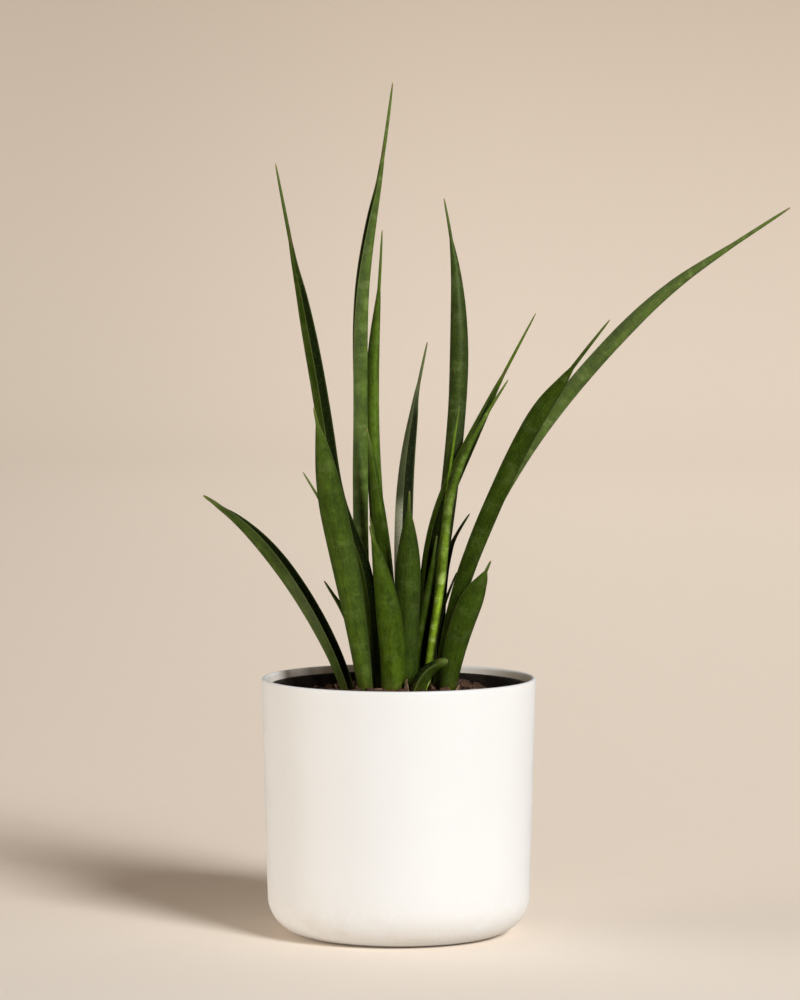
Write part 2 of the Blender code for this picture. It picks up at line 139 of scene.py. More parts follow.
def closed_grid(name, rings, start, end, sharp=40.0):
    """Close a run of rings with a fan of triangles to a point at each end."""
    rows, columns, _ = rings.shape
    points = np.concatenate([rings.reshape(-1, 3), [start], [end]])
    return make_piece(name, points, grid_quads(rows, columns), np.concatenate(fans(rows, columns)), sharp)


def add_attribute(piece, name, values):
    """Store one number or one vector a point, for the materials to read."""
    values = np.asarray(values, np.float32)
    kind, key = ("FLOAT", "value") if values.ndim == 1 else ("FLOAT_VECTOR", "vector")
    piece.data.attributes.new(name, kind, "POINT").data.foreach_set(key, values.ravel())


# %% [markdown]
# ## Smooth noise
#
# Bark, soil and leaves are never quite even. A hash gives every point of a lattice a fixed number from its
# three whole coordinates, and the numbers are blended in between, so each run gives the same plant.

# %% Noise
HASH_STEPS = (374761393, 668265263, 2147483629, 1274126177)
HASH_MIX = 1103515245


def lattice(ix, iy, iz, seed):
    """Fixed numbers from -1 to 1 for whole coordinates: multiply by large odd numbers and mix the bits."""
    mixed = sum(number * step for number, step in zip((ix, iy, iz, seed), HASH_STEPS))
    mixed = (mixed ^ (mixed >> 13)) * HASH_MIX
    return ((mixed ^ (mixed >> 16)) & 0xFFFF) / 32767.5 - 1


def noise(points, seed=0):
    """Lattice numbers at the eight corners round each point, blended with weights 3t^2 - 2t^3."""
    cell = np.floor(points).astype(np.int64)
    t = points - cell
    t = t * t * (3 - 2 * t)
    total = np.zeros(points.shape[:-1])
    for corner in np.ndindex(2, 2, 2):
        weight = np.prod(np.where(np.array(corner) == 1, t, 1 - t), axis=-1)
        total += weight * lattice(*(cell[..., n] + corner[n] for n in range(3)), seed)
    return total


def wander(distance, span, seed):
    """Noise along a line, with one bump about every span millimetres."""
    return noise(together(distance / span, 0.0, 0.0), seed)


def ease(x):
    """3x^2 - 2x^3 between 0 and 1, and flat outside."""
    x = np.clip(x, 0.0, 1.0)
    return x * x * (3 - 2 * x)


# %% [markdown]
# ## Shader shorthand
#
# Materials here are node graphs, and g is the graph of the finish at hand. Each short word below adds a node
# or a few, joins what it is given, and returns the output. What finishes share is a node group, made once.

# %% Shader helpers
class Graph:
    """Adds and joins the nodes of one material or node group."""

    def __init__(self, tree):
        self.tree = tree

    def node(self, kind, output=0, inputs=(), **settings):
        """One node. inputs pairs a socket's name or number with a value or with another node's output."""
        made = self.tree.nodes.new(kind)
        for key, value in settings.items():
            setattr(made, key, value)
        for key, value in dict(inputs).items():
            if isinstance(value, bpy.types.NodeSocket):
                self.tree.links.new(value, made.inputs[key])
            else:
                made.inputs[key].default_value = value
        return made.outputs[output]

    def math(self, operation, a, b=0.0):
        return self.node("ShaderNodeMath", inputs={0: a, 1: b}, operation=operation)

    def times(self, a, *more):
        """The product of two or more numbers."""
        for b in more:
            a = self.math("MULTIPLY", a, b)
        return a

    def plus(self, a, *more):
        """The sum of two or more numbers."""
        for b in more:
            a = self.math("ADD", a, b)
        return a

    def from_axis(self, x, y):
        """Distance from the upright axis: the root of x squared plus y squared."""
        return self.math("SQRT", self.plus(self.times(x, x), self.times(y, y)))

    def split(self, vector):
        """The three parts of a vector."""
        return self.node("ShaderNodeSeparateXYZ", inputs={0: vector}).node.outputs

    def ramp(self, value, low, high, to_low=0.0, to_high=1.0):
        """Map low..high to to_low..to_high with a smooth step."""
        return self.node("ShaderNodeMapRange", interpolation_type="SMOOTHSTEP",
                         inputs={0: value, 1: low, 2: high, 3: to_low, 4: to_high})

    def mix(self, share, a, b, blend="MIX", clamp=True):
        """Blend two colours. Without the clamp a share above one goes on past the second colour."""
        a, b = ((*colour, 1) if isinstance(colour, tuple) else colour for colour in (a, b))
        return self.node("ShaderNodeMix", output=2, inputs={0: share, 6: a, 7: b}, data_type="RGBA",
                         blend_type=blend, clamp_factor=clamp)

    def coats(self, colour, *layers):
        """Lay colours over one another. A layer is its share, its colour, and any other way to blend."""
        for share, coat, *how in layers:
            colour = self.mix(share, colour, coat, *how)
        return colour

    def noise(self, vector, scale, detail, roughness=0.55):
        """Noise at a vector. A scale of three numbers stretches it."""
        if isinstance(scale, tuple):
            vector = self.node("ShaderNodeVectorMath", inputs={0: vector, 1: scale}, operation="MULTIPLY")
            scale = 1.0
        inputs = {"Vector": vector, "Scale": scale, "Detail": detail, "Roughness": roughness}
        return self.node("ShaderNodeTexNoise", inputs=inputs)

    def attribute(self, name, output="Fac"):
        return self.node("ShaderNodeAttribute", output=output, attribute_name=name)

    def place(self):
        """Object coordinates, in metres."""
        return self.node("ShaderNodeTexCoord", output="Object")

    def bump(self, height, distance, strength):
        inputs = {"Height": height, "Distance": distance, "Strength": strength}
        return self.node("ShaderNodeBump", inputs=inputs)

    def use(self, group, **inputs):
        """Place a node group and return its outputs."""
        return self.node("ShaderNodeGroup", inputs=inputs, node_tree=group).node.outputs


def new_group(name, inputs, outputs):
    """An empty node group. Returns it, its graph, what it is given and its result."""
    tree = bpy.data.node_groups.new(name, "ShaderNodeTree")
    for way, sockets in (("INPUT", inputs), ("OUTPUT", outputs)):
        for key, kind in sockets.items():
            tree.interface.new_socket(name=key, in_out=way, socket_type="NodeSocket" + kind)
    given = tree.nodes.new("NodeGroupInput").outputs
    print("node group:", name, "from", *inputs, "to", *outputs)
    return tree, Graph(tree), given, tree.nodes.new("NodeGroupOutput").inputs


def new_material(name, roughness, specular):
    """A material: returns its graph, its shader's inputs, and the material itself."""
    made = bpy.data.materials.new(name)
    made.use_nodes = True
    shader = made.node_tree.nodes["Principled BSDF"].inputs
    shader["Roughness"].default_value = roughness
    shader["Specular IOR Level"].default_value = specular
    return Graph(made.node_tree), shader, made


def join(g, sockets, **values):
    """Join outputs to the sockets of those names, in which an underscore stands for a space."""
    for name, value in values.items():
        g.tree.links.new(value, sockets[name.replace("_", " ")])


def finish_with(piece, material):
    """Give a piece one material."""
    piece.data.materials.clear()
    piece.data.materials.append(material)


# %% [markdown]
# ## A shared effect: grime
#
# Dust and fine soil settle on the pots, the rhizome and the dry sheaths in soft-edged patches. Large noise
# says where a patch may lie, and small noise breaks up its edge.

# %% Grime group
def grime_group():
    """Mask from 0 to 1: coarse noise plus half as much fine noise, cut at Cover with a soft edge."""
    tree, g, given, result = new_group("Grime", {"Vector": "Vector", "Scale": "Float", "Cover": "Float"},
                                       {"Mask": "Float"})
    coarse = g.noise(given["Vector"], given["Scale"], 2.0)
    fine = g.noise(given["Vector"], g.times(given["Scale"], 9.0), 4.0, 0.7)
    both = g.plus(g.times(coarse, 0.67), g.times(fine, 0.33))
    edge = g.math("SUBTRACT", 1.0, given["Cover"])
    join(g, result, Mask=g.ramp(both, g.plus(edge, -0.08), g.plus(edge, 0.08)))
    return tree


GRIME = grime_group()

# %% [markdown]
# ## The cover pot
#
# The white pot is turned: one outline swept round the middle. It is flat below, swells through a generous
# fillet into a wall that flares a little, and closes in a round lip. Its sizes are those of the solid.

# %% Turned pieces
TURNED_STEPS = 240


def arc(centre_r, centre_z, radius, start, end, steps):
    """Points (r, z) on an arc from start to end degrees."""
    angle = np.radians(np.linspace(start, end, steps + 1))
    return together(centre_r + radius * np.cos(angle), centre_z + radius * np.sin(angle))


def straight(start, end, steps):
    """Points (r, z) inside a straight stretch, without its two ends."""
    share = np.linspace(0, 1, steps + 2)[1:-1, None]
    return np.array(start) * (1 - share) + np.array(end) * share


def revolved(profile, columns):
    """Rings of points: every (r, z) of a profile carried round Z."""
    angle = full_turn(columns)
    r, z = profile[:, 0, None], profile[:, 1, None]
    return together(r * np.cos(angle), r * np.sin(angle), z)


def turned_piece(name, outline):
    """Turn an (r, z) outline that starts and ends on the axis, where two fans close the piece."""
    rings = revolved(outline[1:-1], TURNED_STEPS)
    return closed_grid(name, rings, (0, 0, outline[0, 1]), (0, 0, outline[-1, 1]))


# %% The cover pot
pot_high = np.array(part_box("cover_pot")[1]) / MM
COVER_RADIUS, COVER_HEIGHT = pot_high[0], pot_high[2]
COVER_FOOT_RADIUS = 86.3
COVER_FILLET = 25.0
COVER_WALL = 3.3
COVER_FLOOR = 3.6


def cover_pot_outline():
    """Underside, outer fillet, wall, lip, inner wall, inner fillet and floor, from the axis out and back."""
    lip = COVER_WALL / 2
    foot = COVER_FOOT_RADIUS - COVER_FILLET
    inner = COVER_FILLET - COVER_WALL
    under = [(0.0, 0.0)] + [(foot * share, 0.0) for share in (0.25, 0.5, 0.75)]
    fillet = arc(foot, COVER_FILLET, COVER_FILLET, -90, 0, 24)
    rim = arc(COVER_RADIUS - lip, COVER_HEIGHT - lip, lip, 0, 180, 14)
    wall = straight(fillet[-1], rim[0], 16)
    inner_fillet = arc(foot, COVER_FLOOR + inner, inner, 0, -90, 16)
    inner_wall = straight(rim[-1], inner_fillet[0], 16)
    return np.concatenate([under, fillet, wall, rim, inner_wall, inner_fillet, [(0.0, COVER_FLOOR)]])


cover_pot = turned_piece("white_cover_pot", cover_pot_outline())
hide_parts("cover_pot")
print("cover pot:", len(cover_pot.data.polygons), "faces")

# %% [markdown]
# Its glaze is a warm white satin. The inner wall is painted creamier and a little darker, a painted warm
# shade inside the pot. Close up it has a faint orange peel, tiny pale flecks, and a little dust near the
# foot. The underside is bare where the pot stood in the kiln.

# %% White glaze
def white_glaze():
    """Warm white with painted warm shade inside, rougher where dust lies, and bare clay within the foot ring.
    """
    g, shader, made = new_material("satin white glaze", 0.42, 0.5)
    place = g.place()
    x, y, z = g.split(place)
    radius = g.from_axis(x, y)
    flecks = g.ramp(g.noise(place, 900.0, 2.0), 0.66, 0.74)
    dust = g.use(GRIME, Vector=place, Scale=30.0, Cover=0.52)["Mask"]
    dust = g.times(dust, g.ramp(z, 0.045, 0.0))
    inside = g.times(g.ramp(z, 0.13, 0.14), g.ramp(radius, 0.0875, 0.0865))
    bare = g.times(g.ramp(z, 0.0006, 0.0002), g.ramp(radius, 0.0605, 0.059))
    white = g.coats(
        g.mix(g.noise(place, 14.0, 3.0), (0.72, 0.72, 0.71), (0.75, 0.75, 0.74)),
        (g.times(flecks, 0.35), (0.7, 0.66, 0.6)),
        (g.times(dust, 0.3), (0.55, 0.5, 0.43)),
        # Painted shade: the inner wall is creamier and a little darker
        (inside, (0.74, 0.68, 0.6)),
        (bare, (0.62, 0.52, 0.42)))
    gloss = g.plus(g.ramp(g.noise(place, 60.0, 4.0), 0.3, 0.7, 0.38, 0.47),
                   g.times(g.math("MAXIMUM", dust, bare), 0.35))
    peel = g.bump(g.noise(place, 420.0, 2.0), 0.00004, 0.5)
    join(g, shader, Base_Color=white, Roughness=gloss, Normal=peel)
    return made


finish_with(cover_pot, white_glaze())

# %% [markdown]
# ## The grower's pot
#
# Inside stands a thin black pot of moulded plastic. Only its thick rim band and a little of the inner wall
# show. It is turned in the same way, and its drain holes are cut with a Boolean that is applied at once.

# %% The grower's pot
nursery_low, nursery_high = (np.array(corner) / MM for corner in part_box("nursery_pot"))
NURSERY_RIM_RADIUS, NURSERY_BASE, NURSERY_TOP = nursery_high[0], nursery_low[2], nursery_high[2]
NURSERY_TOP_RADIUS = 81.6
NURSERY_BASE_RADIUS = 60.0
NURSERY_WALL = 1.2
NURSERY_CORNER = 4.0
NURSERY_BAND = 7.0
NURSERY_EDGE = 1.0
DRAIN_HOLES, DRAIN_RADIUS, DRAIN_CIRCLE = 6, 4.5, 40.0
DRILL_STEPS, DRILL_BELOW, DRILL_ABOVE = 32, 3.0, 5.0


def nursery_outline():
    """Underside, corner, tapered wall, rim band, inner wall and inner floor."""
    centre = NURSERY_BASE_RADIUS - NURSERY_CORNER
    corner = arc(centre, NURSERY_BASE + NURSERY_CORNER, NURSERY_CORNER, -90, 0, 8)
    inner_corner = arc(centre, NURSERY_BASE + NURSERY_CORNER, NURSERY_CORNER - NURSERY_WALL, 0, -90, 8)
    band = NURSERY_TOP - NURSERY_BAND
    lip = NURSERY_EDGE
    step = [(NURSERY_TOP_RADIUS - NURSERY_WALL / 2, band), (NURSERY_RIM_RADIUS - 0.3, band + 0.2)]
    low_edge = arc(NURSERY_RIM_RADIUS - lip / 2, band + 0.7, lip / 2, -60, 0, 4)
    top_edge = arc(NURSERY_RIM_RADIUS - lip, NURSERY_TOP - lip, lip, 0, 90, 6)
    inside = arc(NURSERY_TOP_RADIUS - NURSERY_WALL + lip, NURSERY_TOP - lip, lip, 90, 180, 6)
    wall = straight(corner[-1], step[0], 24)
    inner_wall = straight(inside[-1], inner_corner[0], 30)
    under = [(0.0, NURSERY_BASE)] + [(centre * share, NURSERY_BASE) for share in (0.2, 0.4, 0.6, 0.8)]
    floor = [(0.0, NURSERY_BASE + NURSERY_WALL)]
    return np.concatenate([under, corner, wall, step, low_edge, top_edge, inside, inner_wall, inner_corner,
                           floor])


def cut(piece, cutters):
    """Take the cutters out of a piece with an exact Boolean, apply it, and remove them."""
    for cutter in cutters:
        modifier = piece.modifiers.new("cut", "BOOLEAN")
        modifier.object = cutter
        modifier.solver = "EXACT"
    graph = bpy.context.evaluated_depsgraph_get()
    old, piece.data = piece.data, bpy.data.meshes.new_from_object(piece.evaluated_get(graph))
    piece.modifiers.clear()
    bpy.data.meshes.remove(old)
    for cutter in cutters:
        bpy.data.objects.remove(cutter)


def drill(number):
    """A short rod through the floor of the pot where one drain hole goes."""
    angle = math.tau * number / DRAIN_HOLES
    turn = full_turn(DRILL_STEPS)
    x, y = (DRAIN_CIRCLE * wave(angle) + DRAIN_RADIUS * wave(turn) for wave in (np.cos, np.sin))
    rings = together(x, y, np.array([[NURSERY_BASE - DRILL_BELOW], [NURSERY_BASE + DRILL_ABOVE]]))
    return closed_grid(f"drill_{number}", rings, rings[0].mean(0), rings[1].mean(0))


nursery_pot = turned_piece("black_growers_pot", nursery_outline())
cut(nursery_pot, [drill(number) for number in range(DRAIN_HOLES)])
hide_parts("nursery_pot")
print("grower's pot:", len(nursery_pot.data.polygons), "faces")

# %% [markdown]
# Black plastic is never quite black. Handling leaves fine scuffs that run round it, and watering leaves a
# brownish film of dust in patches.

# %% Black plastic
def black_plastic():
    """Near black with scuffs stretched sideways and a film of dust."""
    g, shader, made = new_material("black moulded plastic", 0.45, 0.2)
    place = g.place()
    scuffs = g.ramp(g.noise(place, (60, 60, 1400), 3.0), 0.56, 0.72)
    dust = g.use(GRIME, Vector=place, Scale=55.0, Cover=0.5)["Mask"]
    black = g.mix(g.times(scuffs, 0.35), (0.008, 0.0058, 0.0045), (0.024, 0.018, 0.014))
    black = g.mix(g.times(dust, 0.35), black, (0.045, 0.032, 0.023))
    dull = g.plus(g.times(scuffs, 0.12), 0.36, g.times(dust, 0.25))
    join(g, shader, Base_Color=black, Roughness=dull,
         Normal=g.bump(g.noise(place, 700.0, 3.0), 0.00006, 0.6))
    return made


finish_with(nursery_pot, black_plastic())

# %% [markdown]
# ## Where the leaves stand
#
# Each leaf follows a smooth curve through a few points, from its foot over the rhizome to its tip. They are
# those of the solid leaves, so a finer leaf lies over each solid one. Only a few channels differ a little.
#
# A row holds a name, the path, and the azimuth that the channel opens to, or two where it turns from foot
# to tip, in degrees (0 is right, 90 is back). Every foot is at the same height. Then come half the widest
# breadth in millimetres, the share of it left at the foot, the shares of the length where the leaf is
# widest and where its round awl starts, the awl's radius, the depth of the back and the rise of the edges
# as shares of the width, and the depth of the channel as a share of the back, below 0 for a bulge. Last is
# the finish: how light, how yellow low down, how banded, where more than 2 shows only near the foot, and
# how waxy.

# %% The leaves
AWL_POINT = 0.33
Leaf = namedtuple("Leaf", "name path facing width foot widest shoulder awl back rise channel look")
FOOT_HEIGHT = 134
LEAVES = [Leaf(name, ((*path[0], FOOT_HEIGHT), *path[1:]), np.broadcast_to(facing, 2), *rest)
          for name, path, facing, *rest in (
    ("left_arching", ((-27, 1), (-34, 1, 160), (-62, 10, 218), (-107, 31, 270), (-130, 42, 285)), -20, 7.2,
     0.62, 0.6, 0.96, 1.3, 0.8, 0.55, 0.5, (0.72, 0.15, 0.5, 0.2)),
    ("left_tall", ((-12, 4), (-18, 9, 200), (-25, 14, 243), (-39, 22, 278), (-47, 28, 316), (-58, 38, 382),
     (-72, 50, 454), (-82, 60, 505)), (-30, -26), 5.9, 0.8, 0.6, 0.86, 1.3, 0.85, 0.6, 0.6,
     (0.56, 0.2, 0.5, 0.0)),
    ("left_broad", ((-18, -13), (-34, -20, 234), (-48, -30, 306), (-52, -34, 333), (-55, -36, 347)), 80,
     9.2, 0.32, 0.65, 0.95, 1.1, 0.5, 0.35, 0.5, (0.68, 0.8, 0.45, 0.08)),
    ("left_spike", ((-20, -3), (-26, -1, 212), (-37, 0, 255), (-63, 4, 303)), 60, 2.6, 0.9, 0.3, 0.8, 1.1,
     0.8, 0.4, 0.5, (0.8, 1.2, 0.4, 0.0)),
    ("left_sprout", ((-25, -8), (-31, -6, 200), (-49, -4, 232)), 60, 3.4, 0.8, 0.4, 0.9, 1.1, 0.8, 0.4, 0.5,
     (0.4, 0.15, 0.3, 0.0)),
    ("rear_tallest", ((-19, 18), (-25, 28, 250), (-26, 31, 345), (-24, 33, 428), (-11, 36, 507),
     (-4, 37, 558)), (152, 205), 6.5, 0.8, 0.58, 0.885, 1.3, 0.85, 0.6, 0.5, (1.1, 0.35, 1.4, 0.35)),
    ("rear_tall", ((-8, 23), (-14, 32, 282), (-17, 36, 349), (-13, 41, 424), (-11, 43, 461)), 110, 4.9,
     0.85, 0.64, 0.88, 1.1, 0.85, 0.6, 0.5, (1.2, 1.0, 0.5, 0.1)),
    ("rear_slim", ((1, 5), (-7, 7, 224), (-15, 10, 297), (-21, 13, 331)), (100, 110), 5.2, 0.8, 0.5, 0.95,
     1.1, 0.75, 0.5, 0.5, (0.62, 0.45, 0.5, 0.0)),
    ("front_stout", ((-3, -15), (-5, -19, 194), (-15, -26, 254), (-19, -29, 270)), 90, 8.3, 0.85, 0.45,
     0.93, 1.1, 0.5, 0.35, 0.5, (0.72, 1.3, 0.45, 0.0)),
    ("front_inner", ((-5, -7), (-9, -8, 220), (-19, -14, 275)), 90, 3.4, 0.8, 0.4, 0.85, 1.1, 0.7, 0.4, 0.5,
     (0.5, 0.4, 0.4, 0.0)),
    ("front_sword", ((6, -3), (5, -7, 190), (6, -13, 250), (7, -18, 292)), 85, 8.3, 0.5, 0.62, 0.92, 1.1,
     0.5, 0.35, 0.5, (0.5, 0.35, 0.4, 0.06)),
    ("front_curled", ((7, -22), (11, -23, 160), (20, -26, 176), (32, -28, 182)), 170, 6.0, 1.0, 0.4, 0.92,
     3.2, 0.95, 0.1, -0.9, (0.5, 0.15, 0.3, 0.0)),
    ("centre_grey", ((4, 17), (2, 23, 225), (5, 32, 309), (11, 38, 348), (19, 44, 387)), -30, 6.9, 0.65,
     0.52, 0.89, 1.1, 0.8, 0.6, 0.6, (0.5, 0.1, 0.5, 1.0)),
    # Painted shade: this leaf's light value is set low to darken it for the shade it stands in among the
    # others
    ("centre_tall", ((17, 23), (24, 27, 217), (36, 36, 322), (39, 45, 401), (35, 53, 453), (30, 56, 482)),
     (68, 74), 6.3, 0.7, 0.68, 0.92, 1.1, 0.6, 0.4, 0.3, (0.42, 0.1, 0.9, 0.15)),
    ("centre_thread", ((18, 8), (24, 9, 200), (30, 10, 275), (40, 13, 346)), 90, 2.4, 0.9, 0.3, 0.65, 1.0,
     0.8, 0.4, 0.5, (1.7, 3.0, 0.4, 0.0)),
    ("centre_small", ((11, 5), (12, 5, 186), (20, 5, 229), (25, 5, 261)), 90, 3.0, 0.6, 0.55, 0.9, 1.1, 0.8,
     0.4, 0.5, (0.5, 0.25, 0.5, 0.0)),
    # Painted light: the banded leaf's yellow and bands are far above the others, so its lower part shows
    # bright where the leaves in front shade it
    ("centre_banded", ((15, -4), (21, -3, 182), (29, 0, 240), (34, 3, 284), (48, 7, 323), (72, 14, 363)),
     100, 3.0, 0.9, 0.55, 0.9, 1.1, 0.9, 0.5, 0.5, (0.9, 15.0, 18.0, 0.1)),
    ("centre_channelled", ((15, 14), (17, 17, 225), (25, 20, 271), (46, 29, 320), (67, 37, 361),
     (91, 45, 406)), -36, 5.6, 0.8, 0.5, 0.84, 1.1, 0.8, 0.6, 0.6, (1.15, 0.6, 0.6, 0.0)),
    ("centre_dark", ((25, 16), (27, 17, 204), (37, 22, 258), (47, 27, 274)), -45, 3.6, 0.7, 0.55, 0.88, 1.1,
     0.8, 0.5, 0.5, (0.16, 0.05, 0.2, 0.0)),
    ("centre_sprig", ((20, 3), (25, 4, 199), (38, 3, 237)), 90, 2.2, 0.9, 0.4, 0.85, 0.9, 0.8, 0.4, 0.5,
     (0.6, 0.5, 0.4, 0.0)),
    ("right_arching", ((29, 8), (38, 4, 215), (83, -14, 316), (139, -34, 388), (176, -45, 424),
     (220, -57, 456), (250, -65, 476)), (140, 125), 5.8, 0.8, 0.58, 0.9, 1.4, 0.75, 0.55, 0.5,
     (0.95, 0.25, 1.7, 0.5)),
    ("right_nested", ((24, -3), (43, -11, 232), (64, -20, 286), (88, -30, 336), (136, -45, 404)), 120, 6.7,
     0.66, 0.71, 0.865, 1.3, 0.7, 0.45, 0.5, (0.42, 0.15, 0.4, 0.0)),
    ("right_short", ((29, -14), (38, -17, 188), (52, -22, 229), (60, -25, 247)), 115, 8.6, 0.36, 0.7, 0.93,
     1.1, 0.55, 0.35, 0.5, (0.5, 0.3, 0.4, 0.0)),
)]


def spline(points, t):
    """Natural cubic through points, at shares t of its chord length. Returns places and unit directions."""
    points = np.asarray(points, float)
    knots = np.concatenate([[0.0], np.cumsum(np.linalg.norm(np.diff(points, axis=0), axis=1))])
    knots /= knots[-1]
    h = np.diff(knots)
    count = len(points)
    system, right = np.eye(count), np.zeros((count, 3))
    for i in range(1, count - 1):
        system[i, i - 1:i + 2] = h[i - 1], 2 * (h[i - 1] + h[i]), h[i]
        right[i] = 6 * ((points[i + 1] - points[i]) / h[i] - (points[i] - points[i - 1]) / h[i - 1])
    bend = np.linalg.solve(system, right)
    k = np.clip(np.searchsorted(knots, t, side="right") - 1, 0, count - 2)
    a, b, w = (knots[k + 1] - t)[:, None], (t - knots[k])[:, None], h[k][:, None]
    low, high = points[k], points[k + 1]
    place = (bend[k] * a ** 3 + bend[k + 1] * b ** 3) / (6 * w)
    place += (low / w - bend[k] * w / 6) * a + (high / w - bend[k + 1] * w / 6) * b
    slope = (bend[k + 1] * b ** 2 - bend[k] * a ** 2) / (2 * w)
    slope += (high - low) / w - (bend[k + 1] - bend[k]) * w / 6
    return place, slope / np.linalg.norm(slope, axis=1)[:, None]


def breadth(leaf, t):
    """Half the breadth: a quarter sine up to the widest point, then a square's fall to the awl's radius."""
    swell = leaf.foot + (1 - leaf.foot) * np.sin(math.pi / 2 * np.clip(t / leaf.widest, 0, 1))
    fall = np.clip((t - leaf.widest) / (leaf.shoulder - leaf.widest), 0, 1)
    taper = np.clip((t - leaf.shoulder) / (1 - leaf.shoulder), 0, 1)
    blade = leaf.awl + (leaf.width * swell - leaf.awl) * (1 - fall ** 2)
    return np.where(t < leaf.shoulder, blade, leaf.awl * (1 - taper) ** AWL_POINT)


print("leaves:", len(LEAVES), "tallest, mm:", max(leaf.path[-1][2] for leaf in LEAVES))

# %% [markdown]
# ## The bark bed
#
# The plant stands in coarse orchid bark. Its top is a mound that falls towards the wall, with a heap at the
# right. The mix is one closed plug: a turned side, and above it a polar grid whose height is a formula,
# with finer noise than the solid's for crumbs down to about a millimetre.

# %% The bark bed
SOIL_EDGE, SOIL_CROWN, SOIL_FALL = 147.0, 12.5, 2.4
SOIL_HEAP, SOIL_HEAP_AT, SOIL_HEAP_RADIUS = 4.0, (40.0, 30.0), 20.0
SOIL_GAP = 0.3
CRUMBS = ((1.1, 9.0), (0.9, 3.6), (0.45, 1.5))
BED_RINGS = 110


def bark_height(x, y):
    """A mound that falls as a power of the distance from the middle, a bell-shaped heap, and lumps."""
    """A mound that falls as a power of the distance from the middle, a bell-shaped heap, and lumps."""
    mound = SOIL_CROWN * (1 - np.minimum(np.hypot(x, y) / NURSERY_TOP_RADIUS, 1) ** SOIL_FALL)
    apart = np.hypot(x - SOIL_HEAP_AT[0], y - SOIL_HEAP_AT[1]) / SOIL_HEAP_RADIUS
    flat = together(x, y, 0.0)
    lumps = sum(size * noise(flat / span, seed) for seed, (size, span) in enumerate(CRUMBS))
    return SOIL_EDGE + mound + SOIL_HEAP * np.exp(-apart ** 2) + lumps


def bark_plug():
    """Side rings up the inside of the grower's pot, then rings that shrink over the mound to the middle."""
    inset = NURSERY_WALL + SOIL_GAP
    corner = arc(NURSERY_BASE_RADIUS - NURSERY_CORNER, NURSERY_BASE + NURSERY_CORNER,
                 NURSERY_CORNER - inset, -90, 0, 6)
    taper = (NURSERY_TOP_RADIUS - NURSERY_BASE_RADIUS) / (NURSERY_TOP - NURSERY_BASE - NURSERY_CORNER)
    edge = corner[-1, 0] + taper * (SOIL_EDGE - corner[-1, 1]) - SOIL_GAP
    angle = full_turn(TURNED_STEPS)
    radius = np.concatenate([corner[:, 0], edge * np.linspace(1, 0, BED_RINGS + 1)[:-1]])[:, None]
    x, y = radius * np.cos(angle), radius * np.sin(angle)
    height = bark_height(x, y)
    height[:len(corner)] = corner[:, 1, None]
    height[len(corner)] = SOIL_EDGE
    top = bark_height(np.zeros(1), np.zeros(1))[0]
    return closed_grid("bark_bed", together(x, y, height), (0, 0, corner[0, 1]), (0, 0, top))


bark_bed = bark_plug()
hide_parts("soil")
print("bark bed:", len(bark_bed.data.polygons), "faces")

# %% [markdown]
# ## Loose bark
#
# Over the bed lie a few hundred loose chips, each a small closed ball. Its directions are raised to a power
# below one, which squares it off. Then it is stretched, dented and turned. All are worked out together as
# one array and one mesh. They lie on a sunflower spiral, which covers a disc evenly, moved a little so that
# no rows show.

# %% Loose bark
CHUNK_COLUMNS, CHUNK_ROWS = 8, 4
CHUNK_DENT, CHUNK_POWER = 0.16, 0.55
GOLDEN_ANGLE = math.radians(137.5)


def squared(v):
    """Keep the sign of v and raise its size to a power."""
    return np.sign(v) * np.abs(v) ** CHUNK_POWER


def turns(rng, count, tilt):
    """Turning matrices: any angle about Z, after small tilts about X and Y."""
    made = np.zeros((3, count, 3, 3))
    for n, limits in enumerate(((-tilt, tilt), (-tilt, tilt), (0, math.tau))):
        angle = rng.uniform(*limits, count)
        i, j = (n + 1) % 3, (n + 2) % 3
        made[n, :, n, n] = 1
        made[n, :, i, i] = made[n, :, j, j] = np.cos(angle)
        made[n, :, i, j], made[n, :, j, i] = -np.sin(angle), np.sin(angle)
    return made[2] @ made[1] @ made[0]


def scatter(rng, count, spread, jitter):
    """Places on a sunflower spiral: radius grows as the square root of the count, by the golden angle."""
    number = np.arange(count)
    radius = spread * np.sqrt((number + 0.5) / count)
    angle = number * GOLDEN_ANGLE
    return [radius * wave(angle) + rng.uniform(-jitter, jitter, count) for wave in (np.cos, np.sin)]


def chunks(name, rng, centres, sizes, tilt):
    """One mesh of many closed lumps: a superellipsoid for each centre, dented, stretched and turned."""
    count = len(centres)
    turn = full_turn(CHUNK_COLUMNS)
    lift = np.linspace(-math.pi / 2, math.pi / 2, CHUNK_ROWS + 2)[1:-1, None]
    level = squared(np.cos(lift))
    ball = together(level * squared(np.cos(turn)), level * squared(np.sin(turn)), squared(np.sin(lift)))
    ball = np.concatenate([ball.reshape(-1, 3), [(0, 0, -1), (0, 0, 1)]])
    shape = ball * rng.uniform(1 - CHUNK_DENT, 1 + CHUNK_DENT, (count, len(ball), 3)) * sizes[:, None]
    points = np.einsum("nij,nkj->nki", turns(rng, count, tilt), shape) + centres[:, None]
    shift = (np.arange(count) * len(ball))[:, None, None]
    quads = grid_quads(CHUNK_ROWS, CHUNK_COLUMNS) + shift
    caps = np.concatenate(fans(CHUNK_ROWS, CHUNK_COLUMNS)) + shift
    piece = make_piece(name, points.reshape(-1, 3), quads.reshape(-1, 4), caps.reshape(-1, 3), sharp=28.0)
    add_attribute(piece, "tone", np.repeat(rng.uniform(0, 1, count), len(ball)))
    return piece

# %% Lay the chips and crumbs
CHIP_SEED = 11
CHIP_SPREAD, CHIP_JITTER, CHIP_TILT = 76.0, 2.5, 0.7
